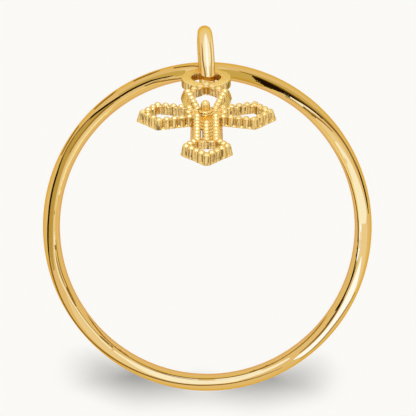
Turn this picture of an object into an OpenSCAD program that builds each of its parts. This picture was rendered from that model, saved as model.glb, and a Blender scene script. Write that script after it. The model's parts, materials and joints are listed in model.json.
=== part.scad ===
// Finger ring with a small openwork cross charm hung from a loop on its edge.
// The ring lies on its side: Z = 0 is the floor, the Z axis is the axis of the finger hole,
// and the loop and the charm stand on the band's upper edge, on the +Y side.
// All sizes are in millimetres.

/* [Band] */
// Inside diameter of the band, where the finger goes
finger_d = 17.3; // [14:0.1:22]
// Width of the band along the finger
band_w = 2; // [1.8:0.1:3]
// Thickness of the band at the crown of its dome
band_t = 0.85; // [0.8:0.05:1.2]
// Height of the dome above the flat sides of the band
dome_rise = 0.7; // [0.5:0.05:0.75]

/* [Loop] */
// Thickness of the loop's round wire
wire_d = 0.8; // [0.7:0.05:0.9]
// Outside diameter of the loop
loop_d = 3.82; // [3.8:0.02:4.2]
// Distance from the finger hole's wall out to the middle of the loop
loop_out = 0.52; // [0.4:0.02:0.6]
// Depth that the loop is let into the band's edge where it is soldered
loop_sunk = 0.16; // [0.12:0.02:0.2]
// Turn of the loop about the line across the band
loop_turn = 2; // [0:0.5:3]
// Turn of the loop about the upright, its outer end to the left
loop_yaw = 3; // [0:0.5:4]
// Turn of the loop and the charm around the band, from the middle line to the left
joint_turn = 0.45; // [0:0.05:0.6]

/* [Bail] */
// Outside diameter of the flat bail ring at the head of the charm
bail_d = 2.7; // [2.6:0.02:2.8]
// Diameter of the bail ring's hole
bail_hole_d = 1.58; // [1.56:0.02:1.7]
// Thickness of the bail ring
bail_t = 0.5; // [0.4:0.01:0.52]
// Distance from the middle of the cross to the middle of the bail ring
bail_reach = 4.72; // [4.7:0.02:4.8]

/* [Cross] */
// Thickness of the cast frame, without the domes of its beads
frame_t = 0.45; // [0.4:0.01:0.5]
// Height of a bead's dome above the frame
dome_h = 0.14; // [0.08:0.01:0.15]
// Half width of each arm at its corners
arm_half = 0.97; // [0.9:0.01:1.05]
// Half width of the arms where they leave the hub
root_half = 0.465; // [0.46:0.005:0.5]
// Distance from the middle to the upper corners of the side arms
side_reach = 2.49; // [2.3:0.01:2.7]
// How much nearer to the middle the lower corners of the side arms are
side_slant = 0.13; // [0:0.01:0.15]
// Distance from the middle to the corners of the top arm
top_reach = 2.69; // [2.6:0.01:2.75]
// Distance from the middle to the lower end of the stem's straight rails
stem_reach = 3.2; // [3.1:0.01:3.4]
// Distance from the middle to the corners of the foot
foot_reach = 3.94; // [3.8:0.01:4.1]
// Length of the points of the side and top arms
point_l = 0.9; // [0.8:0.01:0.95]
// Length of the point of the foot
foot_point_l = 0.99; // [0.9:0.01:1.1]
// Height of the round post at the middle of the cross
post_h = 0.64; // [0.5:0.02:0.8]

/* [Charm pose] */
// Angle between the charm's face and the floor
lean = 60; // [58:1:62]

/* [Hidden] */
$fn = 64;

finger_r = finger_d / 2;
dome_r = (band_w * band_w / 4 + dome_rise * dome_rise) / (2 * dome_rise);
dome_x = finger_r + band_t - dome_r;

wire_r = wire_d / 2;
loop_r = loop_d / 2;
loop_y = finger_r + loop_out;
loop_z = band_w + loop_r - loop_sunk;
solder_r = 0.36;
solder_y = finger_r + 0.42;
solder_z = band_w - 0.05;

// the bail's middle, seen from the loop's middle, along the charm and behind its face
hang_along = 1.37;
hang_behind = 0.406;

hole_ease = 0.1;

peg_r = 0.19;
web_half = 0.14;
cap_r = peg_r - 0.02;
bar_peg_r = 0.18;
bar_web_half = 0.14;
bar_top = -1.29;
hub_half = 0.9;
hub_head = 0.74;
hub_foot = -1.1;
post_x = -0.05;
post_r = 0.24;
collar_r = 0.33;
collar_h = 0.1;
skin = 0.01;

// the corners of the right half of the outline, from the top point down to the foot's point,
// with the number of bead spacings from each corner to the next
//         [x, y, spacings]
corners = [
    [0, top_reach + point_l, 3],
    [arm_half, top_reach, 5],
    [root_half, root_half, 5],
    [side_reach, arm_half, 3],
    [side_reach - side_slant / 2 + point_l, 0, 3],
    [side_reach - side_slant, -arm_half, 5],
    [root_half, -root_half, 7],
    [root_half, -stem_reach, 3],
    [arm_half, -foot_reach, 4],
    [0, -foot_reach - foot_point_l, 0]
];

// the hub fills the middle, where the post stands, out to the ends of the side openings
hub_rise = (hub_half - root_half) * (arm_half - root_half) / (side_reach - root_half);
hub_edge = root_half + hub_rise;
hub_right = [
    [0, hub_head],
    [root_half, hub_head],
    [root_half, root_half],
    [hub_half, hub_edge],
    [hub_half, -hub_edge],
    [root_half, -root_half],
    [root_half, hub_foot],
    [0, hub_foot]
];

// the smooth outer walls widen towards the back: outlines at the face and at the back
shoulder_face = [[root_half, 0.6], [1.08, 2.6], [1.05, 2.85], [0.9, 2.6]];
shoulder_back = [[root_half, 0.7], [0.95, 1.2], [1.28, 2.2], [1.37, 2.8], [1.33, 3.3], [1.22, 3.95], [0.9, 3.5]];
stem_face = [[root_half, -0.5], [0.64, -0.5], [0.64, -3.2], [root_half, -3.2]];
stem_back = [[root_half, -0.5], [0.81, -0.5], [0.81, -3.4], [root_half, -3.2]];

function place(a, b, t) = [a[0] + (b[0] - a[0]) * t, a[1] + (b[1] - a[1]) * t];

// a row of round pegs from a to b, joined by a web; the peg at b is left to the next row
module peg_row(a, b, spacings, r, web) {
    for (i = [0 : spacings - 1])
        translate(place(a, b, i / spacings)) circle(r = r);
    translate([a[0], a[1]])
        rotate(atan2(b[1] - a[1], b[0] - a[0]))
            translate([0, -web]) square([norm([b[0] - a[0], b[1] - a[1]]), 2 * web]);
}

// the domes that stand on a row of pegs
module dome_row(a, b, spacings, base_r) {
    ball_r = (base_r * base_r + dome_h * dome_h) / (2 * dome_h);
    for (i = [0 : spacings - 1])
        translate(place(a, b, i / spacings)) translate([0, 0, frame_t + dome_h - ball_r]) sphere(r = ball_r);
}

module both_sides() {
    children();
    mirror([1, 0, 0]) children();
}

// the frame seen from its face: beaded outline, hub, cross pegs and the bar down the stem
module frame_outline() {
    both_sides() {
        for (i = [0 : len(corners) - 2])
            peg_row(corners[i], corners[i + 1], corners[i][2], peg_r, web_half);
        polygon(hub_right);
        translate([hub_half, 0]) circle(r = peg_r);
    }
    translate([0, -foot_reach - foot_point_l]) circle(r = peg_r);
    peg_row([0, bar_top], [0, -stem_reach], 5, bar_peg_r, bar_web_half);
    translate([0, -stem_reach]) circle(r = bar_peg_r);
    translate([-bar_web_half, bar_top]) square([2 * bar_web_half, hub_foot - bar_top + 0.1]);
    // a cross wall closes the stem's two slots above the foot
    translate([-root_half, -stem_reach - bar_web_half]) square([2 * root_half, 2 * bar_web_half]);
}

module frame_domes() {
    both_sides() {
        for (i = [1 : len(corners) - 2])
            dome_row(corners[i], corners[i + 1], corners[i][2], cap_r);
        dome_row(place(corners[0], corners[1], 1 / 3), corners[1], 2, cap_r);
        dome_row([hub_half, 0], [hub_half, 1], 1, cap_r);
    }
    dome_row(corners[0], corners[1], 1, cap_r);
    dome_row([0, -foot_reach - foot_point_l], [0, 0], 1, cap_r);
    dome_row([0, bar_top], [0, -stem_reach - (stem_reach + bar_top) / 5], 6, bar_peg_r - 0.02);
}

// a wall whose outline widens from the face to the back
module widening(face, back) {
    hull() {
        translate([0, 0, frame_t - skin]) linear_extrude(skin) polygon(face);
        linear_extrude(skin) polygon(back);
    }
}

// the post stands a little off the middle line
module post() {
    translate([post_x, 0, frame_t - 0.1]) cylinder(r = collar_r, h = collar_h + 0.1);
    translate([post_x, 0, frame_t - 0.1]) cylinder(r = post_r, h = post_h - post_r + 0.1);
    translate([post_x, 0, frame_t + post_h - post_r]) sphere(r = post_r);
}

module bail() {
    translate([0, bail_reach, frame_t - bail_t]) cylinder(d = bail_d, h = bail_t);
}

// the hole's back edge is eased, where the loop's wire runs
module bail_hole() {
    translate([0, bail_reach, -1]) cylinder(d = bail_hole_d, h = 4);
    translate([0, bail_reach, frame_t - bail_t - skin])
        cylinder(d1 = bail_hole_d + 2 * (hole_ease + skin), d2 = bail_hole_d, h = hole_ease + skin);
}

// the charm in its own frame: the face looks along +Z and the bail is on the +Y side
module charm_flat() {
    difference() {
        union() {
            linear_extrude(frame_t) frame_outline();
            both_sides() {
                widening(shoulder_face, shoulder_back);
                widening(stem_face, stem_back);
            }
            bail();
        }
        bail_hole();
    }
    frame_domes();
    post();
}

// one casting, hung with the loop's wire through the hole of its bail
module cross_charm() {
    color("gold")
        rotate([0, 0, joint_turn])
            translate([0, loop_y, loop_z])
                rotate([-lean, 0, 0])
                    translate([0, -hang_along - bail_reach, -hang_behind - frame_t])
                        charm_flat();
}

module band_section() {
    intersection() {
        translate([dome_x, band_w / 2]) circle(r = dome_r, $fn = 96);
        translate([finger_r, 0]) square([band_t, band_w]);
    }
}

module loop() {
    translate([0, loop_y, loop_z])
        rotate([0, 0, loop_yaw]) rotate([0, 90 + loop_turn, 0])
            rotate_extrude() translate([loop_r - wire_r, 0]) circle(r = wire_r, $fn = 48);
}

module solder() {
    translate([0, solder_y, solder_z]) sphere(r = solder_r);
}

// the band with the loop soldered to its edge
module band() {
    color("gold") {
        rotate_extrude($fn = 180) band_section();
        rotate([0, 0, joint_turn]) {
            loop();
            solder();
        }
    }
}

band();
cross_charm();
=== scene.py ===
# Looks of a slim gold finger ring with a small openwork cross charm, laid on its side.
# The file has the layout of an add-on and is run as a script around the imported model.
import json
import math

import bmesh
import bpy
from mathutils import Matrix, Vector


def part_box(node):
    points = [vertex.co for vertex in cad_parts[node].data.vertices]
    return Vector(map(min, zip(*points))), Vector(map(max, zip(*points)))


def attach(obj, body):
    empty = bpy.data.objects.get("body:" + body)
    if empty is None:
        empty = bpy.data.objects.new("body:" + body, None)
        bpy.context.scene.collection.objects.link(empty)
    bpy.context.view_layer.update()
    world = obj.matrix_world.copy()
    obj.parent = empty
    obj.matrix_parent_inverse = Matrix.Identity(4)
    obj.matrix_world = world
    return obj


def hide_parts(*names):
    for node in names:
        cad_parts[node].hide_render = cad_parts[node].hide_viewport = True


bl_info = {
    "name": "Cross charm ring",
    "version": (1, 0, 0),
    "blender": (4, 5, 0),
    "location": "3D View > Sidebar > Jewel",
    "description": "Builds the band, its soldered loop, the cast cross charm and a studio stage",
    "category": "Add Mesh",
}

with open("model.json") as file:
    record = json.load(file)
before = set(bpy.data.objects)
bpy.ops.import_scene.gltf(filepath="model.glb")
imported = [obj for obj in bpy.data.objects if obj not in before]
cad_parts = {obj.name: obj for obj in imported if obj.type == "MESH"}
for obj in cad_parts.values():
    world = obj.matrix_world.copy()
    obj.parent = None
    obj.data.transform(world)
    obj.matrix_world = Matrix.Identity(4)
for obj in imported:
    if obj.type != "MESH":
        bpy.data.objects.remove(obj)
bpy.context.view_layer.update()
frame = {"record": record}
BODY = "root"

# Meshes are worked out in millimetres and brought to metres at the end
MM = 0.001

# The picture: its side in pixels, the pixels a millimetre at the band's middle height, where the
# ring's axis lies in it, and how far from the axis the crown of the band lies
PICTURE = {"side": 416, "scale": 17.29, "axis_x": 207.3, "axis_y": 226.4, "crown": 163}

# Steps around the turned bodies, and points along their sections
BAND_STEPS, LOOP_STEPS, WIRE_STEPS = 480, 144, 48
WALL_POINTS, EDGE_POINTS, DOME_POINTS = 8, 16, 60
BEAD_STEPS, POST_STEPS, BAIL_STEPS, FILL_STEPS = 28, 32, 96, 20
HEAD_POINTS, SOFT_POINTS = 8, 3

# A radius under this is a point on the axis
TINY = 1e-6

# The solder's middle beyond the finger hole's wall, and its outer end in times its own reach
SOLDER_OUT, SOLDER_END = 0.36, 2.5

# Sizes of the charm with no field in the panel, in its own plane and in millimetres. The hub's half
# width, its two ends and how far it stays below the face
HUB_HALF, HUB_HEAD, HUB_FOOT, HUB_DROP = 0.9, 0.74, -1.1, 0.03
# The fill in the corner between the top arm and a side arm
FILL_R, FILL_X, FILL_Y, FILL_BASE = 0.16, 0.66, 0.62, 0.05
# The post and its collar
POST_R, POST_BASE, COLLAR_R, COLLAR_H = 0.24, 0.1, 0.33, 0.1
# The bar down the stem: its first bead, its number of beads, and the wall that carries them, with
# its upper end and its faces towards +X and -X
BAR_TOP, BAR_BEADS = -1.29, 6
BAR_START, BAR_FACES, BAR_DROP = -1.0, (0.216, 0.206), 0.035
# The plates over the upper ends of the stem's slots, and half the cross wall above the foot
PLATE_T, PLATE_ENDS, CROSS_HALF = 0.06, (-1.95, -2.35), 0.2
# Where the flare at the back of the beads and of the walls ends, and how far the walls stay low
BEAD_FLARE_H, WEB_FLARE_H, WEB_DROP = 0.14, 0.12, 0.01
BAIL_SOFT = 0.05

# The least and the most of the stated roughness that the metal's marks give it
POLISH_LEAST, POLISH_MOST = 0.6, 1.6
SATIN_LEAST, SATIN_MOST = 0.75, 1.3

# Rows of a card's mesh from one of its stated rows to the next, and columns across it
CARD_ROWS, CARD_COLUMNS = 8, 16
# Each card stands in front of the one before by this share of its distance
BAND_STAGGER, LOOP_STAGGER = 0.008, 0.02
# Towards the loop's inner side, where the charm leaves little room, the cards' distance falls off
# over the swing, to nothing at the first angle, but never to less than the least share
ROOM_START, ROOM_SWING, ROOM_LEAST = -40, 45, 0.08

# In millimetres: half the floor, and how deep its surface and the wall's rings lie
FLOOR_HALF, FLOOR_DEPTH, RING_DEPTH = 3000, 0.01, 0.05

# The strength of the three suns together, and the surround's own light
SUN_STRENGTH = 3.35
SURROUND, SURROUND_STRENGTH = (0.76, 0.75, 0.96, 1), 1.1


def stated_bore():
    """The finger hole's radius and length in millimetres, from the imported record."""
    for mount in frame["record"]["mounts"]:
        if mount["name"] == "finger_bore":
            return mount["dims"]["r_mm"], mount["dims"]["length_mm"]
    raise RuntimeError("the record states no finger bore")


FINGER_R, BAND_WIDTH = stated_bore()
BAND_THICKNESS = (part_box("band")[1] / MM).x - FINGER_R


def length(name, description, millimetres):
    """A length in the panel, with its default given in millimetres."""
    looks = {"min": 0.0, "precision": 5, "unit": "LENGTH", "subtype": "DISTANCE"}
    return bpy.props.FloatProperty(name=name, description=description, default=millimetres * MM, **looks)


def angle(name, description, degrees):
    """An angle in the panel, with its default given in degrees."""
    turn, looks = math.radians(degrees), {"unit": "ROTATION", "subtype": "ANGLE"}
    return bpy.props.FloatProperty(name=name, description=description, default=turn, **looks)


def share(name, description, default):
    """A number from 0 to 1 in the panel."""
    looks = {"min": 0.0, "max": 1.0, "subtype": "FACTOR"}
    return bpy.props.FloatProperty(name=name, description=description, default=default, **looks)


def colour(name, description, default):
    """A linear colour in the panel."""
    looks = {"min": 0.0, "max": 1.0, "size": 3, "subtype": "COLOR"}
    return bpy.props.FloatVectorProperty(name=name, description=description, default=default, **looks)


class BandSizes(bpy.types.PropertyGroup):
    """Sizes of the half-round band and of the loop soldered to its edge."""

    dome_rise: length("Dome rise", "Height of the dome above the flat sides of the band", 0.7)
    edge_r: length("Edge rounding", "Radius of the polished edges of the band", 0.07)
    wall_crown: length("Wall crown", "Bulge of the band's inner wall", 0.03)
    wire_d: length("Loop wire", "Thickness of the loop's round wire", 0.8)
    loop_d: length("Loop diameter", "Outside diameter of the loop", 3.82)
    loop_turn: angle("Loop turn", "Turn of the loop about the line across the band", 2)
    loop_yaw: angle("Loop yaw", "Turn of the loop about the upright", 3)
    joint_turn: angle("Joint turn", "Turn of the loop and the charm around the band", 0.45)
    loop_out: length("Loop offset", "From the finger hole's wall to the middle of the loop", 0.52)
    loop_sunk: length("Loop sunk", "Depth that the loop is let into the band's edge", 0.16)
    solder_rise: length("Solder rise", "Height of the solder under the loop", 0.34)
    solder_reach: length("Solder reach", "Reach of the solder from the middle of the joint", 0.42)


class CharmSizes(bpy.types.PropertyGroup):
    """Sizes of the cast cross charm, seen in its own plane."""

    lean: angle("Lean", "Angle between the charm's face and the floor", 60)
    hang_along: length("Hang along", "Bail's middle below the loop's middle, along the charm", 1.37)
    hang_behind: length("Hang behind", "Bail's face behind the loop's middle", 0.406)
    frame_t: length("Frame thickness", "Thickness of the frame without its domes", 0.45)
    dome_h: length("Dome height", "Height of a bead's dome above the frame", 0.15)
    bead_d: length("Bead diameter", "Diameter of the beads of the outline", 0.38)
    bar_bead_d: length("Bar bead diameter", "Diameter of the beads down the middle of the stem", 0.36)
    web_out: length("Web outside", "Outer face of the wall between two beads, from its middle line", 0.07)
    web_in: length("Web inside", "Inner face of the wall between two beads, from its middle line", 0.17)
    foot_flare: length("Back flare", "Widening of the walls at their back edge", 0.04)
    bail_d: length("Bail diameter", "Outside diameter of the flat bail ring", 2.7)
    bail_hole_d: length("Bail hole", "Diameter of the bail ring's hole", 1.58)
    bail_t: length("Bail thickness", "Thickness of the bail ring", 0.5)
    hole_ease: length("Hole easing", "Easing of the back edge of the bail's hole", 0.1)
    bail_reach: length("Bail reach", "From the middle of the cross to the middle of the bail", 4.72)
    arm_half: length("Arm half width", "Half width of each arm at its corners", 0.97)
    root_half: length("Root half width", "Half width of the arms where they leave the hub", 0.465)
    side_reach: length("Side reach", "From the middle to the upper corners of the side arms", 2.49)
    side_slant: length("Side slant", "How much nearer the lower corners of the side arms are", 0.13)
    top_reach: length("Top reach", "From the middle to the corners of the top arm", 2.69)
    stem_reach: length("Stem reach", "From the middle to the lower end of the stem's rails", 3.2)
    foot_reach: length("Foot reach", "From the middle to the corners of the foot", 3.94)
    point_l: length("Point length", "Length of the top arm's point", 0.9)
    side_point_l: length("Side point length", "Length of the side arms' points, at the face", 0.79)
    foot_point_l: length("Foot point length", "Length of the point of the foot", 0.99)
    post_h: length("Post height", "Height of the round post at the middle", 0.64)
    post_off: length("Post offset", "Distance of the post from the middle line, to the left", 0.05)
    grain: length("Mesh grain", "Size of the cells that the cast pieces are fused on", 0.026)


class Finishes(bpy.types.PropertyGroup):
    """Colours and polish of the gold."""

    gold: colour("Gold", "Colour of the polished yellow gold", (0.9, 0.585, 0.15))
    edge_gold: colour("Gold at a glance", "Tint of the gold where it is seen edge on", (0.93, 0.67, 0.24))
    cast: colour("Cast gold", "Colour of the satin cast gold", (1.0, 0.71, 0.2))
    # the darker colour is painted shade in the charm's grooves and hole, and also the colour of the marks
    # on its walls
    shade_and_mark_colour: colour("Cast gold in recesses", "Colour of the cast gold in its grooves", (0.2, 0.11, 0.025))
    polish: share("Band roughness", "Roughness of the polished band", 0.07)
    satin: share("Charm roughness", "Roughness of the satin cast charm", 0.2)
    floor: colour("Floor", "Colour of the floor", (0.9, 0.892, 0.86))


class StageSettings(bpy.types.PropertyGroup):
    """Camera, light and the cards that the polished metal mirrors."""

    camera_height: length("Camera height", "Height of the camera above the floor", 63)
    card_distance: length("Card distance", "Distance of the cards from the metal that mirrors them", 1.6)
    far_distance: length("Far card distance", "Distance of the cards that the charm's flutes mirror", 250)
    loop_card_distance: length("Loop card distance", "Distance of the cards from the loop", 3.2)


def sizes(context):
    """The panel's groups, from the scene."""
    scene = context.scene
    return scene.ring_band, scene.ring_charm, scene.ring_finish, scene.ring_stage


def mesh_object(name, bm):
    """An object for a bmesh, which is used up, linked to the scene."""
    mesh = bpy.data.meshes.new(name)
    bm.to_mesh(mesh)
    bm.free()
    obj = bpy.data.objects.new(name, mesh)
    bpy.context.scene.collection.objects.link(obj)
    return obj


def solid_object(name, bm):
    """An object for a bmesh of closed bodies, with their faces turned outwards."""
    bmesh.ops.recalc_face_normals(bm, faces=bm.faces)
    return mesh_object(name, bm)


def bake_modifiers(obj):
    """The object's modifiers worked into its mesh."""
    graph = bpy.context.evaluated_depsgraph_get()
    graph.update()
    done = bpy.data.meshes.new_from_object(obj.evaluated_get(graph), depsgraph=graph)
    obj.modifiers.clear()
    old = obj.data
    obj.data = done
    bpy.data.meshes.remove(old)


def to_metres(obj):
    """Brings a mesh from millimetres to metres."""
    obj.data.transform(Matrix.Scale(MM, 4))
    obj.data.update()


def finish_piece(obj, node, material):
    """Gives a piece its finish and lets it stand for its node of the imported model."""
    obj.data.materials.clear()
    obj.data.materials.append(material)
    # the metal throws no glints on the floor, which is lit by its own lights
    obj.visible_diffuse = False
    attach(obj, BODY)
    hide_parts(node)


def revolve(bm, profile, steps, place=None):
    """A closed body turned about Z from (radius, height) points; points on the axis close it."""
    rings = []
    for radius, height in profile:
        if radius < TINY:
            rings.append([bm.verts.new((0, 0, height))])
            continue
        turns = (2 * math.pi * i / steps for i in range(steps))
        ring = ((radius * math.cos(t), radius * math.sin(t), height) for t in turns)
        rings.append([bm.verts.new(point) for point in ring])
    pairs = list(zip(rings, rings[1:]))
    if len(rings[0]) > 1 and len(rings[-1]) > 1:
        pairs.append((rings[-1], rings[0]))
    for low, high in pairs:
        for i in range(steps):
            j = (i + 1) % steps
            corners = [ring[k % len(ring)] for ring, k in ((low, i), (low, j), (high, j), (high, i))]
            bm.faces.new(list(dict.fromkeys(corners)))
    made = [v for ring in rings for v in ring]
    if place is not None:
        bmesh.ops.transform(bm, matrix=place, verts=made)
    return made


def arc(centre, radius, start, end, steps):
    """Points on an arc in a (radius, height) plane, angles in degrees."""
    turns = (math.radians(start + (end - start) * i / steps) for i in range(steps + 1))
    return [(centre[0] + radius * math.cos(t), centre[1] + radius * math.sin(t)) for t in turns]


def band_profile(band, fine=1):
    """The half-round section, from the inner wall over the upper edge, the dome and the lower edge.
    With fine above 1 it has that many times as many points."""
    rise = band.dome_rise / MM
    edge = band.edge_r / MM
    half = BAND_WIDTH / 2
    dome_r = (half * half + rise * rise) / (2 * rise)
    dome_x = FINGER_R + BAND_THICKNESS - dome_r
    wall_steps, edge_steps, dome_steps = (n * fine for n in (WALL_POINTS, EDGE_POINTS, DOME_POINTS))
    # where the edge's rounding leaves the dome, it has the dome's own direction
    inner = dome_r - edge
    edge_x = FINGER_R + edge
    tilt = math.acos((edge_x - dome_x) / inner) if abs(edge_x - dome_x) < inner else 0.0
    edge_z = min(half - edge, inner * math.sin(tilt))
    leave = math.degrees(math.atan2(edge_z, edge_x - dome_x))
    # the inner wall is a shallow arc that bulges towards the finger
    crown = band.wall_crown / MM
    wall_r = (edge_z * edge_z + crown * crown) / (2 * crown)
    wall_swing = math.degrees(math.asin(edge_z / wall_r))
    wall_x = FINGER_R - crown + wall_r
    points = arc((wall_x, half), wall_r, 180 + wall_swing, 180 - wall_swing, wall_steps)[:-1]
    points += arc((edge_x, half + edge_z), edge, 180, leave, edge_steps)
    points += arc((dome_x, half), dome_r, leave, 0, dome_steps)[1:]
    points += arc((dome_x, half), dome_r, 0, -leave, dome_steps // 2)[1:-1]
    points += arc((edge_x, half - edge_z), edge, -leave, -180, edge_steps // 2)[:-1]
    return points


def loop_middle(band):
    """The middle of the loop, in millimetres, before its turn around the band."""
    rise = (band.loop_d / 2 - band.loop_sunk) / MM
    return Vector((0, FINGER_R + band.loop_out / MM, BAND_WIDTH + rise))


def around_band(band):
    """The turn that carries the loop and the charm around the band."""
    return Matrix.Rotation(band.joint_turn, 4, "Z")


class JEWEL_OT_add_band(bpy.types.Operator):
    """Builds the half-round band with the loop soldered to its edge"""

    bl_idname = "jewel.add_band"
    bl_label = "Add Band"

    def execute(self, context):
        band, _, finish, _ = sizes(context)
        wire_r = band.wire_d / MM / 2
        loop_mean_r = band.loop_d / MM / 2 - wire_r
        around = around_band(band)

        bm = bmesh.new()
        revolve(bm, band_profile(band), BAND_STEPS)
        raise_solder(bm, around @ Vector((0, FINGER_R + SOLDER_OUT, BAND_WIDTH)), band)
        ring = solid_object("band_polished", bm)

        bm = bmesh.new()
        section = arc((loop_mean_r, 0), wire_r, 0, 360, WIRE_STEPS)[:-1]
        revolve(bm, section, LOOP_STEPS, loop_turned(band))
        loop = solid_object("loop", bm)

        joint = ring.modifiers.new("solder", "BOOLEAN")
        joint.operation = "UNION"
        joint.solver = "EXACT"
        joint.object = loop
        bake_modifiers(ring)
        wire_mesh = loop.data
        bpy.data.objects.remove(loop)
        bpy.data.meshes.remove(wire_mesh)
        to_metres(ring)
        ring.data.shade_smooth()
        ring.data.set_sharp_from_angle(angle=math.radians(40))
        finish_piece(ring, "band", polished_gold(finish))
        return {"FINISHED"}


def raise_solder(bm, middle, band):
    """Raises the band's own surface into a low mound of solder where the loop stands."""
    rise, reach = band.solder_rise / MM, band.solder_reach / MM
    for v in bm.verts:
        far = (v.co - middle).length / reach
        if far < SOLDER_END:
            v.co.z += rise * math.exp(-far * far)


def place_between(a, b, t):
    """The point at share t of the way from a to b."""
    return (a[0] + (b[0] - a[0]) * t, a[1] + (b[1] - a[1]) * t)


def cross_corners(charm):
    """Corners of the right half of the outline, from the top point to the foot's point.
    Each row holds x, y, the number of bead spacings to the next corner and how far the
    corner stands out at the charm's back, as x and y."""
    arm, root = charm.arm_half / MM, charm.root_half / MM
    side, slant, top = charm.side_reach / MM, charm.side_slant / MM, charm.top_reach / MM
    stem, foot = charm.stem_reach / MM, charm.foot_reach / MM
    point, foot_point = charm.point_l / MM, charm.foot_point_l / MM
    side_point = charm.side_point_l / MM
    return [
        (0, top + point, 3, 0, 0.03),
        (arm, top, 5, 0.03, 0),
        (root, root, 5, 0, 0),
        (side, arm, 3, 0.02, 0.02),
        (side - slant / 2 + side_point, 0, 3, 0.135, 0),
        (side - slant, -arm, 5, 0.03, -0.02),
        (root, -root, 7, 0, 0),
        (root, -stem, 3, 0, 0),
        (arm, -foot, 4, 0.08, 0),
        (0, -foot - foot_point, 0, 0, -0.03),
    ]


def bead_profile(face_r, back_r, height, dome_h):
    """A round peg with a domed head, from the middle of its back to the top of its dome."""
    ball_r = (face_r * face_r + dome_h * dome_h) / (2 * dome_h)
    start = math.degrees(math.asin(min(1, (ball_r - dome_h) / ball_r)))
    points = [(0, 0), (back_r, 0), (face_r, BEAD_FLARE_H)]
    points += arc((0, height + dome_h - ball_r), ball_r, start, 90, HEAD_POINTS)
    points[-1] = (0, height + dome_h)
    return points


def add_bead(bm, x, y, face_r, charm, spread=(0, 0)):
    """A bead on its peg, which leans by spread from its face to its back, as a casting's draft."""
    height, dome_h = charm.frame_t / MM, charm.dome_h / MM
    back_r = face_r + charm.foot_flare / MM / 2
    for v in revolve(bm, bead_profile(face_r, back_r, height, dome_h), BEAD_STEPS):
        down = 1 - min(1, v.co.z / height)
        v.co.x += x + spread[0] * down
        v.co.y += y + spread[1] * down


def add_prism(bm, low, high, z_low, z_high):
    """A solid between a low and a high outline with as many points."""
    bottom = [bm.verts.new((x, y, z_low)) for x, y in low]
    top = [bm.verts.new((x, y, z_high)) for x, y in high]
    bm.faces.new(bottom[::-1])
    bm.faces.new(top)
    for i in range(len(low)):
        j = (i + 1) % len(low)
        bm.faces.new((bottom[i], bottom[j], top[j], top[i]))


def strip(a, b, left, right):
    """The four corners of a strip from a to b, with its reach to the left and to the right."""
    run = math.hypot(b[0] - a[0], b[1] - a[1])
    nx, ny = -(b[1] - a[1]) / run, (b[0] - a[0]) / run
    reaches = ((a, -right), (b, -right), (b, left), (a, left))
    return [(point[0] + nx * reach, point[1] + ny * reach) for point, reach in reaches]


def add_web(bm, a, b, charm, left, right):
    """The wall that joins the beads of one row. The ends are x, y and their spread at the back."""
    flare = charm.foot_flare / MM / 2
    height = charm.frame_t / MM - WEB_DROP
    bead_r = charm.bead_d / MM / 2
    levels = []
    for z in (0, WEB_FLARE_H, height):
        down = 1 - z / height
        levels.append([(x + sx * down, y + sy * down) for x, y, sx, sy in (a, b)])
    back, waist, face = levels
    wide = max(left, bead_r + flare), max(right, bead_r + flare)
    middle = strip(*waist, left, right)
    add_prism(bm, strip(*back, *wide), middle, 0, WEB_FLARE_H)
    add_prism(bm, middle, strip(*face, left, right), WEB_FLARE_H - WEB_DROP, height)


def add_hull(bm, points):
    """The convex solid around some points."""
    made = [bm.verts.new(p) for p in points]
    result = bmesh.ops.convex_hull(bm, input=made)
    inside = [v for v in result["geom_interior"] if isinstance(v, bmesh.types.BMVert)]
    bmesh.ops.delete(bm, geom=inside, context="VERTS")


def mirrored(points):
    """The same points on the other side of the middle line."""
    return [(-p[0],) + tuple(p[1:]) for p in points]


class JEWEL_OT_add_cross_charm(bpy.types.Operator):
    """Builds the cast cross charm with its bail, hung on the loop"""

    bl_idname = "jewel.add_cross_charm"
    bl_label = "Add Cross Charm"

    def execute(self, context):
        band, charm, finish, _ = sizes(context)
        bm = bmesh.new()
        add_outline(bm, charm)
        add_stem_bar(bm, charm)
        add_hub(bm, charm)
        add_walls(bm, charm)
        add_bail(bm, charm)
        cast = solid_object("cross_charm_cast", bm)

        fuse = cast.modifiers.new("fuse", "REMESH")
        fuse.mode = "VOXEL"
        fuse.voxel_size = charm.grain / MM
        fuse.adaptivity = 0.02
        soften = cast.modifiers.new("soften", "SMOOTH")
        soften.factor = 0.5
        soften.iterations = 2
        bake_modifiers(cast)

        cast.data.transform(charm_place(band, charm))
        to_metres(cast)
        cast.data.shade_smooth()
        finish_piece(cast, "cross_charm", cast_gold(finish, charm))
        return {"FINISHED"}


def charm_place(band, charm):
    """From the charm's own plane to its place on the loop, in millimetres."""
    hang = Vector((0, -charm.hang_along - charm.bail_reach, -charm.hang_behind - charm.frame_t)) / MM
    tip = Matrix.Rotation(-charm.lean, 4, "X")
    return around_band(band) @ Matrix.Translation(loop_middle(band)) @ tip @ Matrix.Translation(hang)


def add_outline(bm, charm):
    """The beaded outline of the cross, row by row, on both sides of the middle line."""
    corners = cross_corners(charm)
    bead_r = charm.bead_d / MM / 2
    inside, outside = charm.web_in / MM, charm.web_out / MM
    for (ax, ay, spacings, au, av), (bx, by, _, bu, bv) in zip(corners, corners[1:]):
        # the rails of the stem are smooth walls, so that its slots stay narrow
        out, inn = (bead_r, bead_r) if ax == bx else (outside, inside)
        for side in (1, -1):
            for i in range(spacings):
                x, y = place_between((ax, ay), (bx, by), i / spacings)
                u, v = place_between((au, av), (bu, bv), i / spacings)
                # a bead on the middle line is made once
                if side > 0 or x >= TINY:
                    add_bead(bm, side * x, y, bead_r, charm, (side * u, v))
            # seen from the top point on, the outline's outside is on the left of its right half
            left, right = (out, inn) if side > 0 else (inn, out)
            start, end = (side * ax, ay, side * au, av), (side * bx, by, side * bu, bv)
            add_web(bm, start, end, charm, left, right)
    foot = corners[-1]
    add_bead(bm, 0, foot[1], bead_r, charm, (0, foot[4]))


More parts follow.
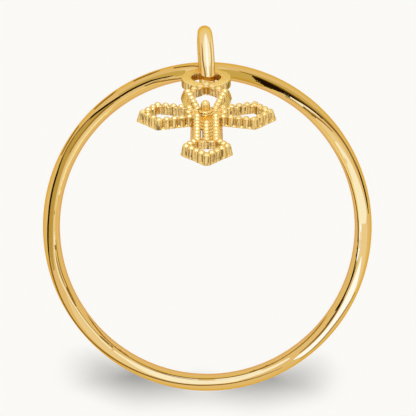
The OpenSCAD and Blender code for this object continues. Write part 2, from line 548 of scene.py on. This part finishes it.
def add_stem_bar(bm, charm):
    """The row of beads down the middle of the stem."""
    bead_r = charm.bar_bead_d / MM / 2
    foot = -charm.stem_reach / MM
    for i in range(BAR_BEADS):
        x, y = place_between((0, BAR_TOP), (0, foot), i / (BAR_BEADS - 1))
        add_bead(bm, x, y, bead_r, charm)
    # walls beside the beads keep the stem's two slots narrow
    root, height = charm.root_half / MM, charm.frame_t / MM - BAR_DROP
    bar = strip((0, BAR_START), (0, foot), *BAR_FACES)
    add_prism(bm, bar, bar, 0, height)
    # the slots start below the hub, the right one lower than the left
    for x, end in zip((-root / 2, root / 2), PLATE_ENDS):
        plate = strip((x, BAR_START), (x, end), root / 2, root / 2)
        add_prism(bm, plate, plate, height - PLATE_T, height)
    # a cross wall closes the two slots above the foot
    wall = strip((-root, foot), (root, foot), CROSS_HALF, CROSS_HALF)
    add_prism(bm, wall, wall, 0, height)


def add_hub(bm, charm):
    """The solid middle with its two side beads and the round post."""
    frame_t = charm.frame_t / MM
    root, arm, reach = charm.root_half / MM, charm.arm_half / MM, charm.side_reach / MM
    edge = root + (HUB_HALF - root) * (arm - root) / (reach - root)
    upper = [(0, HUB_HEAD), (root, HUB_HEAD), (root, root), (HUB_HALF, edge)]
    right = upper + [(HUB_HALF, -edge), (root, -root), (root, HUB_FOOT), (0, HUB_FOOT)]
    outline = right + mirrored(right[1:-1])[::-1]
    add_prism(bm, outline, outline, 0, frame_t - HUB_DROP)
    for side in (1, -1):
        add_bead(bm, side * HUB_HALF, 0, charm.bead_d / MM / 2, charm)
        # metal fills the corner between the top arm and the side arm
        fill = [(0, FILL_BASE), (FILL_R, FILL_BASE), (FILL_R, frame_t), (0, frame_t)]
        revolve(bm, fill, FILL_STEPS, Matrix.Translation((side * FILL_X, FILL_Y, 0)))
    post_h, shelf = charm.post_h / MM, frame_t + COLLAR_H
    profile = [(0, POST_BASE), (COLLAR_R, POST_BASE), (COLLAR_R, shelf), (POST_R, shelf)]
    profile += arc((0, frame_t + post_h - POST_R), POST_R, 0, 90, HEAD_POINTS)
    profile[-1] = (0, frame_t + post_h)
    revolve(bm, profile, POST_STEPS, Matrix.Translation((-charm.post_off / MM, 0, 0)))


def add_walls(bm, charm):
    """The smooth shoulders beside the top arm and the smooth walls beside the stem."""
    frame_t, root = charm.frame_t / MM, charm.root_half / MM
    shoulder_face = [(root, 0.6), (1.08, 2.6), (1.05, 2.85), (0.9, 2.6)]
    shoulder_back = [(root, 0.7), (0.95, 1.2), (1.28, 2.2), (1.37, 2.8), (1.33, 3.3), (1.22, 3.95)]
    shoulder_back.append((0.9, 3.5))
    stem_face = [(root, -0.5), (0.64, -0.5), (0.64, -3.2), (root, -3.2)]
    stem_back = [(root, -0.5), (0.81, -0.5), (0.81, -3.4), (root, -3.2)]
    for face, back in ((shoulder_face, shoulder_back), (stem_face, stem_back)):
        points = [(x, y, frame_t) for x, y in face] + [(x, y, 0) for x, y in back]
        add_hull(bm, points)
        add_hull(bm, mirrored(points))


def add_bail(bm, charm):
    """The flat ring at the head of the charm, with softened edges."""
    outer, inner = charm.bail_d / MM / 2, charm.bail_hole_d / MM / 2
    top, soft = charm.frame_t / MM, BAIL_SOFT
    low = top - charm.bail_t / MM
    profile = arc((outer - soft, top - soft), soft, 0, 90, SOFT_POINTS)
    profile += arc((inner + soft, top - soft), soft, 90, 180, SOFT_POINTS)
    ease = charm.hole_ease / MM
    profile += [(inner, low + ease), (inner + ease, low)]
    profile += arc((outer - soft, low + soft), soft, 270, 360, SOFT_POINTS)
    revolve(bm, profile, BAIL_STEPS, Matrix.Translation((0, charm.bail_reach / MM, 0)))


class Shader:
    """The nodes of one material. An input is given as a value or as another node's output."""

    def __init__(self, name):
        self.material = bpy.data.materials.new(name)
        self.material.use_nodes = True
        self.tree = self.material.node_tree

    def put(self, socket, value):
        if isinstance(value, bpy.types.NodeSocket):
            self.tree.links.new(value, socket)
        else:
            socket.default_value = value

    def add(self, kind, settings=None, **inputs):
        node = self.tree.nodes.new("ShaderNode" + kind)
        for key, value in (settings or {}).items():
            setattr(node, key, value)
        for key, value in inputs.items():
            self.put(node.inputs[key.replace("_", " ")], value)
        return node

    def ramp(self, value, low=0, high=1, to_low=0, to_high=1):
        """A value mapped from one range to another."""
        spans = {"From_Min": low, "From_Max": high, "To_Min": to_low, "To_Max": to_high}
        return self.add("MapRange", Value=value, **spans).outputs["Result"]

    def combine(self, operation, one, two, kind="Math"):
        """The outcome of an operation on two inputs."""
        node = self.add(kind, {"operation": operation})
        for socket, value in zip(node.inputs, (one, two)):
            self.put(socket, value)
        return node.outputs["Value"]

    def surfaced(self, **inputs):
        """The material, with these inputs of its surface."""
        surface = self.tree.nodes["Principled BSDF"]
        for key, value in inputs.items():
            self.put(surface.inputs[key.replace("_", " ")], value)
        return self.material

    def metal(self, finish, **inputs):
        """The material, as a metal with these inputs."""
        return self.surfaced(Metallic=1, Specular_Tint=(*finish.edge_gold, 1), **inputs)


def polished_gold(finish):
    """Mirror-polished yellow gold with faint buffing marks."""
    shader = Shader("polished_gold")
    place = shader.add("TexCoord").outputs["Object"]
    marks = shader.add("TexNoise", Vector=place, Scale=900, Detail=5, Roughness=0.6).outputs["Fac"]
    rough = shader.ramp(marks, to_low=finish.polish * POLISH_LEAST, to_high=finish.polish * POLISH_MOST)
    return shader.metal(finish, Base_Color=(*finish.gold, 1), Roughness=rough)


def cast_gold(finish, charm):
    """Satin cast yellow gold, with painted shade that darkens its grooves and the hole around the loop,
    fine grain and faint layer lines.
    """
    shader = Shader("cast_gold")
    # painted shade: the base colour is darker in the grooves, where less of the surround is open
    shape = shader.add("AmbientOcclusion", {"samples": 8, "only_local": True}, Distance=0.18 * MM)
    groove_shade = shader.ramp(shape.outputs["AO"], low=0.42, high=0.78)
    # and painted shade darkens the hole around the loop still more
    near = shader.add("AmbientOcclusion", {"samples": 8}, Distance=0.9 * MM)
    hollow_shade = shader.ramp(near.outputs["AO"], low=0.2, high=0.5)
    painted_shade = shader.combine("MULTIPLY", groove_shade, hollow_shade)

    place = shader.add("TexCoord").outputs["Object"]
    turned_over = {"Rotation": (-charm.lean, 0, 0), "Scale": (1, 1, 6)}
    own = shader.add("Mapping", {"vector_type": "TEXTURE"}, Vector=place, **turned_over).outputs["Vector"]
    streaks = shader.add("TexNoise", Vector=own, Scale=11000, Detail=2, Roughness=0.6).outputs["Fac"]
    thin = shader.ramp(streaks, low=0.36, high=0.47, to_low=0.1)
    # thin lines at regular steps, where the wax pattern was built up of fine rods
    rods = shader.add("TexWave", Vector=own, Scale=2150, Distortion=2.5, Detail=1, Detail_Scale=1.2)
    gap = shader.ramp(rods.outputs["Fac"], low=0.02, high=0.22, to_low=0.4)
    marked = shader.combine("MULTIPLY", thin, gap)
    # the marks are on the walls, and not on the charm's face
    normal = shader.add("NewGeometry").outputs["Normal"]
    face_normal = (0, math.sin(charm.lean), math.cos(charm.lean))
    upward = shader.combine("DOT_PRODUCT", normal, face_normal, "VectorMath")
    walls_only = shader.combine("MAXIMUM", marked, shader.ramp(upward, low=0.15, high=0.4))
    # the darker colour shows where the painted shade falls and where the wall marks are
    both = shader.combine("MULTIPLY", painted_shade, walls_only)
    tone = shader.add("Mix", {"data_type": "RGBA"}, Factor=both, A=(*finish.shade_and_mark_colour, 1), B=(*finish.cast, 1))

    upright = shader.add("Mapping", Vector=place, Rotation=(charm.lean, 0, 0)).outputs["Vector"]
    layers = shader.add("TexWave", {"bands_direction": "Z"}, Vector=upright, Scale=4200, Distortion=0.4)
    grain = shader.add("TexNoise", Vector=place, Scale=12000, Detail=3, Roughness=0.6).outputs["Fac"]
    flutes = shader.add("Bump", Strength=0.7, Distance=0.03 * MM, Height=streaks)
    lines = shader.add("Bump", Strength=0.5, Distance=0.014 * MM, Height=layers.outputs["Fac"])
    pits = shader.add("Bump", Strength=0.6, Distance=0.02 * MM, Height=grain)
    shader.put(lines.inputs["Normal"], flutes.outputs["Normal"])
    shader.put(pits.inputs["Normal"], lines.outputs["Normal"])
    rough = shader.ramp(grain, to_low=finish.satin * SATIN_LEAST, to_high=finish.satin * SATIN_MOST)
    marks = {"Normal": pits.outputs["Normal"], "Roughness": rough}
    return shader.metal(finish, Base_Color=tone.outputs["Result"], **marks)


def glow(name, radiance):
    """A card's own light, or hardly any for a black card."""
    shader = Shader(name)
    nodes = shader.tree.nodes
    nodes.remove(nodes["Principled BSDF"])
    light = shader.add("Emission", Color=(*radiance, 1), Strength=1)
    shader.put(nodes["Material Output"].inputs["Surface"], light.outputs["Emission"])
    # the cards are seen in the metal and light nothing else
    shader.material.cycles.emission_sampling = "NONE"
    return shader.material


def turned(radius, azimuth, height):
    """The point at that radius, azimuth in degrees and height."""
    a = math.radians(azimuth)
    return Vector((radius * math.cos(a), radius * math.sin(a), height))


def sky_point(azimuth, polar, distance):
    """A point at that direction from the ring's middle, angles in degrees, in metres."""
    p = math.radians(polar)
    return turned(distance * math.sin(p), azimuth, distance * math.cos(p) + MM)


class BandMirror:
    """Finds where a card has to be so that the camera sees it at a given place on the band."""

    def __init__(self, band, stage):
        self.height = stage.camera_height / MM
        self.steps = []
        points = band_profile(band, fine=6)
        for (ra, za), (rb, zb) in zip(points, points[1:]):
            seen = self.seen(ra, za), self.seen(rb, zb)
            if seen[0] >= seen[1]:
                if seen[0] > PICTURE["crown"]:
                    break
                continue
            run = math.hypot(rb - ra, zb - za)
            self.steps.append((seen, (ra, za), (rb, zb), (-(zb - za) / run, (rb - ra) / run)))

    def seen(self, radius, z):
        """Distance from the ring's axis in the picture, in pixels."""
        return PICTURE["scale"] * (self.height - BAND_WIDTH / 2) * radius / (self.height - z)

    def point(self, azimuth, seen, distance):
        """The point, in metres, that the band mirrors there, at a distance in millimetres."""
        for i, ((low, high), a, b, normal) in enumerate(self.steps):
            if seen <= high:
                break
        t = min(1, max(0, (seen - low) / (high - low)))
        before = self.steps[max(0, i - 1)][3]
        after = self.steps[min(len(self.steps) - 1, i + 1)][3]
        # the direction runs smoothly from one short step to the next
        start = (Vector(before) + Vector(normal)).normalized()
        end = (Vector(normal) + Vector(after)).normalized()
        facing = start.lerp(end, t).normalized()
        spin = Matrix.Rotation(math.radians(azimuth), 4, "Z")
        place = spin @ Vector((a[0] + (b[0] - a[0]) * t, 0, a[1] + (b[1] - a[1]) * t))
        outward = spin @ Vector((facing.x, 0, facing.y))
        ray = (place - Vector((0, 0, self.height))).normalized()
        return (place + distance * ray.reflect(outward)) * MM


def loop_turned(band):
    """The loop's place, with its own axis along Z, in millimetres."""
    upright = Matrix.Rotation(math.pi / 2 + band.loop_turn, 4, "Y")
    turn = Matrix.Rotation(band.loop_yaw, 4, "Z") @ upright
    return around_band(band) @ Matrix.Translation(loop_middle(band)) @ turn


def loop_mirror(band, stage, along, round_wire, distance):
    """The point, in metres, that the loop's wire mirrors: along is the angle from the loop's top
    to its outer side, round_wire the angle around the wire from its outer line to the right."""
    wire_r = band.wire_d / MM / 2
    mean_r = band.loop_d / MM / 2 - wire_r
    a, w = math.radians(along), math.radians(round_wire)
    outward = Vector((-math.cos(a), math.sin(a), 0))
    place = loop_turned(band)
    facing = outward * math.cos(w) + Vector((0, 0, 1)) * math.sin(w)
    facing = (place.to_3x3() @ facing).normalized()
    point = place @ (outward * mean_r) + facing * wire_r
    ray = (point - Vector((0, 0, stage.camera_height / MM))).normalized()
    room = min(1, max(ROOM_LEAST, (along - ROOM_START) / ROOM_SWING))
    return (point + distance * room * ray.reflect(facing)) * MM


def stage_only(obj):
    """Leaves an object to be seen in the metal alone, as part of the stage."""
    for rays in ("camera", "diffuse", "shadow", "transmission"):
        setattr(obj, "visible_" + rays, False)


def add_card(name, rows, place, material):
    """A card from rows of an angle and two edges, in the terms of the function that places it."""
    bm = bmesh.new()
    along = []
    for row, following in zip(rows, rows[1:]):
        for i in range(CARD_ROWS):
            t = i / CARD_ROWS
            along.append([u + (v - u) * t for u, v in zip(row, following)])
    along.append(rows[-1])
    lines = []
    for a, low, high in along:
        edges = (low + (high - low) * k / CARD_COLUMNS for k in range(CARD_COLUMNS + 1))
        lines.append([bm.verts.new(place(a, edge)) for edge in edges])
    for one, two in zip(lines, lines[1:]):
        for k in range(CARD_COLUMNS):
            bm.faces.new((one[k], one[k + 1], two[k + 1], two[k]))
    card = mesh_object(name, bm)
    card.data.materials.append(material)
    stage_only(card)


class JEWEL_OT_set_stage(bpy.types.Operator):
    """Sets the pale floor, the soft light, the cards that the gold mirrors and the camera"""

    bl_idname = "jewel.set_stage"
    bl_label = "Set Stage"

    def execute(self, context):
        band, _, finish, stage = sizes(context)
        add_floor(finish)
        add_daylight(context.scene)
        add_cards(band, stage)
        add_camera(context.scene, stage)
        return {"FINISHED"}


def add_floor(finish):
    """The plain pale floor under the ring."""
    bm = bmesh.new()
    corners = ((-1, -1), (1, -1), (1, 1), (-1, 1))
    bm.faces.new([bm.verts.new((FLOOR_HALF * x, FLOOR_HALF * y, -FLOOR_DEPTH)) for x, y in corners])
    floor = mesh_object("floor", bm)
    to_metres(floor)
    paint = {"Base_Color": (*finish.floor, 1), "Roughness": 1, "Specular_IOR_Level": 0}
    floor.data.materials.append(Shader("pale_floor").surfaced(**paint))
    # the metal mirrors the even surround below it instead of the overlit floor
    floor.visible_glossy = False


# Flags that shade the floor outside the band: azimuth, the radii of the two edges and their heights
SHADOW_FLAGS = {
    "shadow_flag_left": [
        (227, 11, 11.6, 3.9, 4.3), (233, 10.1, 11.2, 3.7, 4.2), (240, 9.5, 11, 2.4, 4),
        (246, 9.1, 10.8, 0.3, 4), (252, 9.1, 10.3, 0.4, 4), (262, 9.2, 9.8, 2.2, 4),
        (270, 9.3, 9.7, 3.8, 4.2)],
    "shadow_flag_right": [
        (266, 9.3, 9.6, 3.8, 4.2), (275, 9.2, 9.8, 2, 4), (283, 9.1, 10.2, 0.7, 4),
        (289, 9.1, 10.5, 0.4, 4), (295, 9.3, 10.7, 1.7, 4), (301, 9.9, 11.1, 3.2, 4.1),
        (308, 10.4, 11.4, 3.9, 4.3)],
}


def add_lamp(name, kind, **settings):
    """A lamp with these settings, linked to the scene."""
    light = bpy.data.lights.new(name, kind)
    for key, value in settings.items():
        setattr(light, key, value)
    lamp = bpy.data.objects.new(name, light)
    bpy.context.scene.collection.objects.link(lamp)
    return lamp


def add_sun(name, share_of_light, degrees, casts):
    """A soft light from straight above, which the metal doesn't mirror."""
    energy = SUN_STRENGTH * share_of_light
    lamp = add_lamp(name, "SUN", energy=energy, angle=math.radians(degrees), use_shadow=casts)
    lamp.visible_glossy = False
    return lamp


def add_daylight(scene):
    """An even pale surround for the metal, and soft light from above for the floor."""
    world = bpy.data.worlds.new("pale_surround")
    world.use_nodes = True
    back = world.node_tree.nodes["Background"]
    back.inputs["Color"].default_value = SURROUND
    back.inputs["Strength"].default_value = SURROUND_STRENGTH
    scene.world = world
    world.cycles_visibility.diffuse = False
    add_sun("floor_light", share_of_light=0.24, degrees=10, casts=False)
    add_sun("contact_light", share_of_light=0.1, degrees=70, casts=True)
    main = add_sun("flagged_light", share_of_light=0.66, degrees=36, casts=True)
    flags = bpy.data.collections.new("shadow_flags")
    for name, rows in SHADOW_FLAGS.items():
        flags.objects.link(add_flag(name, rows))
    main.light_linking.blocker_collection = flags
    bead_light()


def add_flag(name, rows):
    """A sloping flag outside the band, unseen itself. Its low inner edge gives a crisp shadow edge
    under the band."""
    bm = bmesh.new()
    pairs = []
    for azimuth, inner, outer, low, high in rows:
        edges = turned(inner, azimuth, low), turned(outer, azimuth, high)
        pairs.append([bm.verts.new(edge * MM) for edge in edges])
    for (a, b), (c, d) in zip(pairs, pairs[1:]):
        bm.faces.new((a, b, d, c))
    flag = mesh_object(name, bm)
    stage_only(flag)
    flag.visible_glossy = False
    flag.visible_shadow = True
    return flag


def bead_light():
    """A long soft light beyond the loop, which gives each bead of the charm its highlight."""
    sides = {"shape": "RECTANGLE", "size": 0.22, "size_y": 0.06}
    lamp = add_lamp("bead_light", "AREA", energy=0.4, color=(0.28, 0.4, 1.0), **sides)
    lamp.location = sky_point(azimuth=90, polar=50, distance=0.25)
    lamp.rotation_euler = lamp.location.to_track_quat("Z", "Y").to_euler()
    lamp.visible_camera = False
    lit = bpy.data.collections.new("lit_by_bead_light")
    lit.objects.link(bpy.data.objects["cross_charm_cast"])
    lamp.light_linking.receiver_collection = lit


# A card's own light. Its tone is the first word of its name, apart from those in NAMED_TONES.
CARD_TONES = {
    "black": (0.015, 0.009, 0.004),
    "brown": (0.26, 0.18, 0.08),
    "dark_olive": (0.56, 0.51, 0.33),
    "olive": (0.64, 0.62, 0.46),
    "light": (0.92, 1.0, 1.6),
    "flute": (1.3, 1.4, 2.4),
    "wall_low": (0.8, 0.62, 0.28),
    "wall_middle": (0.82, 0.78, 0.75),
    "wall_high": (0.86, 0.95, 1.7),
    "cream": (1.06, 1.4, 3.4),
    "white": (1.12, 1.64, 5.4),
}
NAMED_TONES = {
    "olive_left": "dark_olive",
    "white_line_wedge": "cream",
    "brown_loop_right": "dark_olive",
    "flute_dark_left": "black",
    "flute_light_left": "cream",
}

# Where each card shows on the band: azimuth in degrees, and its two edges in the picture, in
# pixels from the ring's axis
BAND_CARDS = {
    "light_right_end": [
        (17, 151.8, 158), (24, 151.8, 157.6), (32, 151.8, 157.4), (37, 151.8, 156.6),
        (41, 151.8, 155.2), (46, 151.8, 153)],
    "cream_right": [
        (-5, 152.4, 154.2), (0, 151.9, 158.6), (5, 151.8, 160), (10, 151.8, 159.4), (16, 151.8, 158.2),
        (23, 152, 157.2), (30, 152.6, 155.4), (36, 153.4, 153.8)],
    "cream_lower": [
        (233, 154.8, 156.2), (241, 154.4, 158), (249, 154.2, 158.8), (256, 153.8, 159),
        (264, 153.6, 158.4), (270, 154.2, 157.8), (275, 153.6, 157.6), (285, 153.6, 157),
        (295, 154, 156.6), (302, 154.6, 156)],
    "light_right": [
        (334, 156, 160.8), (340, 155.2, 161.8), (346, 154.2, 161.5), (354, 153.6, 160.5),
        (361, 154, 160)],
    "white_lower_right": [
        (303, 158.4, 159.2), (306, 157.8, 160.8), (311, 157.6, 161.4), (316, 157.2, 160.8),
        (322, 156.6, 160.2), (328, 156, 160.4), (333, 155.6, 161), (338, 155.6, 160.6),
        (343, 156, 159.2), (349, 156.8, 157.4)],
    "white_edge_right": [
        (347, 153.2, 153.6), (352, 152.6, 154.1), (358, 152.2, 154.1), (364, 152, 153.2)],
    "light_lower_left": [
        (206, 156.4, 157), (214, 156, 159.6), (222, 156, 161), (230, 156, 161), (237, 156.4, 160.8),
        (249, 158.8, 159.6)],
    "light_edge_left": [
        (107, 150.6, 152.4), (113, 151.4, 152.8), (125, 151.2, 153), (135, 150.6, 153.2),
        (150, 150.6, 153.6), (162, 151, 153.6), (172, 151.8, 153.2), (182, 152.8, 153.8)],
    "white_edge_left": [
        (128, 151.3, 151.7), (136, 151, 152.3), (147, 151, 152.6), (157, 151.2, 152.7),
        (168, 151.7, 152.4)],
    "cream_line_left": [
        (182, 152.9, 153.4), (188, 154.1, 154.8), (193, 155.1, 156), (198, 155.6, 156.6),
        (204, 155, 156), (212, 154.4, 155.2), (222, 154.4, 155.4), (232, 154.8, 156)],
    "cream_wall_right": [
        (6, 150.9, 151.6), (18, 150.3, 151.5), (30, 149.3, 151), (42, 148.8, 150.6), (56, 148.6, 149.8),
        (68, 148.5, 149.1)],
    "olive_above_wedge": [
        (36, 160.2, 161), (43, 158, 160.8), (50, 156.4, 160), (60, 156, 159.6), (70, 156.8, 159.2),
        (79, 158, 158.8)],
    "olive_left": [
        (124, 154.8, 155.6), (130, 155, 156.8), (136, 155, 158.4), (143, 155.2, 159.5),
        (150, 155.4, 160), (157, 155.2, 159), (165, 154.2, 158.3), (175, 153.8, 158.2),
        (184, 154.8, 159), (190, 156.6, 159.8), (196, 158.4, 160.4)],
    "brown_stripe_left": [(127, 154.7, 155.3), (133, 154.8, 156), (141, 155, 155.9), (152, 156, 156.6)],
    "olive_upper_left": [(98, 152.4, 158), (104, 154.4, 158.6), (112, 156, 159), (124, 157.8, 159)],
    "brown_line_loop_left": [
        (97.5, 149.6, 150.4), (102, 150, 151), (108, 151.9, 153), (114, 153.7, 154.3)],
    "olive_upper_right": [
        (69, 152.9, 153), (71.5, 151.9, 156.8), (76, 151.8, 157.6), (82, 151.8, 158.2),
        (86, 151.8, 158)],
    "olive_wall_right": [
        (67, 151.2, 151.6), (71.5, 148.4, 151.6), (76, 147.2, 151.6), (86, 147.2, 151.6)],
    "brown_dash_1": [(93.5, 160.9, 161.6), (97, 160.8, 162), (102, 161.3, 162.4)],
    "brown_dash_2": [(107, 162.8, 163.3), (110, 162, 163.2), (117, 162.3, 163.3)],
    "brown_dash_3": [(124, 163, 163.6), (126, 162.1, 163.3), (134, 162.1, 163.1)],
    "brown_dash_4": [(142, 162.7, 163.4), (147, 162.2, 163.3), (154, 162, 162.8)],
    "black_line_upper_left": [
        (102.5, 153.9, 154.6), (105, 154.2, 155.3), (108, 154.8, 156), (111, 155.3, 156.9),
        (118, 155.4, 157.2), (123, 155.4, 157.3), (127, 155.9, 157.7), (131, 156.7, 158.6),
        (135, 158, 159.8), (139, 159.2, 160.5)],
    "brown_line_upper_left": [
        (137, 159.1, 160.2), (141, 159.4, 160.7), (145, 159.9, 161), (151, 159.9, 161.1),
        (158, 159, 160.5)],
    "black_line_left": [
        (154, 160, 160.4), (158, 159, 160.3), (161, 158.3, 160.1), (168, 158.1, 159.9),
        (176, 158, 159.7), (182, 158.6, 160.3), (188, 159.7, 161.2), (193, 160.8, 161.7)],
    "brown_line_lower_left": [
        (191, 160.4, 161.8), (198, 161.3, 162.7), (205, 162.1, 163.3), (213, 162.6, 163.7),
        (222, 162.6, 163.6), (229, 162.1, 163.3), (236, 161.3, 162.6), (244, 160.4, 161.7),
        (252, 159.6, 160.9), (262, 158.8, 160), (272, 158.2, 159.2), (284, 158.2, 159.1),
        (292, 158.7, 159.3), (298, 159.5, 159.9)],
    "black_line_right": [
        (4.5, 161.4, 161.9), (9, 160.9, 162.2), (15, 160.5, 161.9), (22, 160.4, 161.7),
        (29, 160.5, 161.1)],
    "brown_line_right": [
        (20, 160.3, 161.3), (24, 160, 161.4), (30, 159.9, 161.3), (36, 159.1, 160.7), (41, 158, 159.7),
        (46, 157.1, 158.6), (52, 156.3, 157.6), (58, 156.1, 157.2), (66, 156.4, 157.4),
        (72, 157.1, 158), (78, 158, 158.5)],
    "brown_line_wedge": [
        (37, 156.8, 157.4), (42, 155.2, 156.2), (45, 153.8, 155.1), (48, 153, 154.2),
        (52, 152.3, 153.2), (59, 151.7, 152.3)],
    "white_line_wedge": [
        (44, 156.6, 157), (47, 155.4, 156.4), (50, 154.2, 155.5), (53, 153.3, 154.6),
        (56, 152.8, 153.7), (58.5, 152.4, 152.9)],
    "black_wedge": [
        (43, 157.3, 158.2), (46, 156.6, 157.8), (50, 155.7, 156.9), (54, 154.7, 156.3),
        (58, 153.6, 156.1), (62, 152.3, 156.2), (65, 151.8, 156.4), (68, 151.8, 156.8),
        (70, 152.4, 157.1), (72, 154.3, 157.3), (73.5, 156.6, 157.3)],
    "brown_line_above_patch": [
        (305, 161.6, 162), (313, 160.9, 161.7), (321, 160.2, 161), (329, 160.6, 161.4),
        (336, 161.5, 162)],
    "brown_line_lower_right": [
        (306, 156.4, 157), (312, 155.6, 156.8), (318, 155, 156.6), (324, 154.5, 155.8),
        (332, 153.8, 154.8)],
    "black_line_lower_right": [
        (320, 154.6, 154.9), (326, 153.9, 154.9), (332, 153.3, 154.5), (338, 152.8, 153.9),
        (344, 152.2, 153.3), (350, 151.7, 152.6), (356, 151.2, 151.9)],
    "brown_wall_line_right": [
        (354, 150.8, 151.7), (361, 150.2, 151.4), (368, 149.8, 150.9), (376, 149.3, 150.4),
        (385, 148.6, 149.7), (395, 148, 148.9), (407, 147.6, 148.5), (420, 147.4, 148.2),
        (430, 147.2, 147.8)],
    "brown_line_edge_left": [
        (187, 153.7, 153.9), (191, 154, 154.5), (196, 154.6, 155.1), (201, 154.1, 154.6),
        (206, 153.5, 153.8), (214, 153.2, 153.5), (224, 153.2, 153.5), (232, 153.7, 153.9)],
    "brown_line_wall_left": [
        (185, 151.9, 152.3), (190, 152, 152.7), (196, 152.2, 153), (203, 151.9, 152.8),
        (210, 152, 152.5)],
    "brown_wall_arc": [
        (211.5, 147.2, 148.2), (215, 147.8, 149.1), (220, 149.2, 150.3), (226, 150.6, 151.5),
        (234, 151.6, 152.3), (244, 152.1, 152.9), (254, 152.3, 153.3), (262, 152.2, 153.1),
        (272, 152, 152.8), (284, 151.9, 152.8), (294, 151.6, 152.4), (303, 151.1, 151.9),
        (311, 150.4, 151.3), (318, 149.5, 150.5), (323, 148.3, 149.5), (326.5, 147.3, 148.3)],
}

# Where each card shows on the loop: the angle from the loop's top to its outer side, and its two
# edges as angles around the wire, to the right
LOOP_CARDS = {
    "light_over_loop": [(60, -50, 50), (41, -62, 55), (20, -60, 55), (0, -58, 55), (-36, -58, 55)],
    "cream_over_loop": [
        (41, -2, 2), (33, -13, 9), (18, -25, 22), (0, -28, 27), (-10, -25, 24), (-18, -17, 17)],
    "white_over_loop": [(38, -1, 2), (22, -8, 5), (0, -9, 6), (-14, -8, 6), (-19, -8, 7), (-36, -8, 7)],
    "brown_loop_left": [
        (22, -39, -36), (10, -42, -34), (-8, -43, -33), (-18, -38, -28), (-27, -30, -20), (-36, -28, -18)],
    "brown_loop_right": [(24, 27, 31), (10, 29, 37), (-8, 30, 39), (-18, 24, 33), (-36, 16, 28)],
    "cream_loop_right": [(30, 44, 48), (10, 44, 53), (-12, 44, 53), (-20, 42, 50)],
}

# Cards that the flutes mirror: azimuth, and the two edges as angles from the zenith
FLUTE_CARDS = {
    "flute_dark_left": [(222, 62, 84), (236, 62, 84)],
    "flute_light_left": [(237, 58, 80), (246, 58, 80)],
    "flute_middle": [(260, 48, 72), (282, 48, 72)],
}

# The rings of tone under the band's inner wall: their two edges from the axis in millimetres
WALL_CARDS = {"wall_low": (8.57, 8.68), "wall_middle": (8.46, 8.57), "wall_high": (6.8, 8.46)}


def floor_point(azimuth, radius):
    """A point just under the floor's surface, in metres."""
    return turned(radius, azimuth, -RING_DEPTH) * MM


def add_cards(band, stage):
    """The cards whose reflections draw the lines and patches along the band and the loop."""
    tones = {tone: glow(tone + "_card", radiance) for tone, radiance in CARD_TONES.items()}
    mirror = BandMirror(band, stage)

    def add_set(cards, distance, stagger, place):
        for i, (name, rows) in enumerate(cards.items()):
            # later cards stand in front of earlier ones
            near = distance * (1 - stagger * i)
            tone = NAMED_TONES.get(name, name.split("_")[0])
            add_card(name, rows, lambda along, edge: place(along, edge, near), tones[tone])

    def on_loop(along, edge, distance):
        return loop_mirror(band, stage, along, edge, distance)

    add_set(BAND_CARDS, stage.card_distance / MM, BAND_STAGGER, mirror.point)
    # cards far in front of the ring, which draw lines down the flutes of the charm
    add_set(FLUTE_CARDS, stage.far_distance, 0, sky_point)
    # rings of tone lie under the inner wall, which is seen almost edge on
    for tone, (inner, outer) in WALL_CARDS.items():
        rows = [(eighth, inner, outer) for eighth in range(0, 361, 45)]
        add_card(tone + "_ring", rows, floor_point, tones[tone])
    add_set(LOOP_CARDS, stage.loop_card_distance / MM, LOOP_STAGGER, on_loop)


def add_camera(scene, stage):
    """The camera straight above the ring, with the frame shifted to where the ring lies."""
    lens = bpy.data.cameras.new("camera")
    image = PICTURE["side"]
    drop = stage.camera_height / MM - BAND_WIDTH / 2
    lens.sensor_width = 36
    lens.lens = PICTURE["scale"] * drop * lens.sensor_width / image
    lens.shift_x = (image / 2 - PICTURE["axis_x"]) / image
    lens.shift_y = (PICTURE["axis_y"] - image / 2) / image
    lens.clip_start = 0.001
    lens.clip_end = 10
    camera = bpy.data.objects.new("camera", lens)
    camera.location = (0, 0, stage.camera_height)
    scene.collection.objects.link(camera)
    scene.camera = camera
    scene.view_settings.view_transform = "Standard"


class JEWEL_PT_panel(bpy.types.Panel):
    """Sizes, finishes and the buttons that build each piece."""

    bl_idname = "JEWEL_PT_panel"
    bl_label = "Cross Charm Ring"
    bl_space_type = "VIEW_3D"
    bl_region_type = "UI"
    bl_category = "Jewel"

    def draw(self, context):
        for group in sizes(context):
            box = self.layout.box()
            for name in group.__annotations__:
                box.prop(group, name)
        for operator in OPERATORS:
            self.layout.operator(operator.bl_idname)


GROUPS = {
    "ring_band": BandSizes,
    "ring_charm": CharmSizes,
    "ring_finish": Finishes,
    "ring_stage": StageSettings,
}
OPERATORS = (JEWEL_OT_add_band, JEWEL_OT_add_cross_charm, JEWEL_OT_set_stage)
CLASSES = (*OPERATORS, JEWEL_PT_panel)


def register():
    for name, group in GROUPS.items():
        bpy.utils.register_class(group)
        setattr(bpy.types.Scene, name, bpy.props.PointerProperty(type=group))
    for cls in CLASSES:
        bpy.utils.register_class(cls)


def unregister():
    for cls in reversed(CLASSES):
        bpy.utils.unregister_class(cls)
    for name, group in reversed(GROUPS.items()):
        delattr(bpy.types.Scene, name)
        bpy.utils.unregister_class(group)


def write_sizes():
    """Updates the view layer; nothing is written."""

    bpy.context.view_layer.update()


def main():
    register()
    bpy.ops.jewel.add_band()
    bpy.ops.jewel.add_cross_charm()
    bpy.ops.jewel.set_stage()
    write_sizes()


if __name__ == "__main__":
    main()
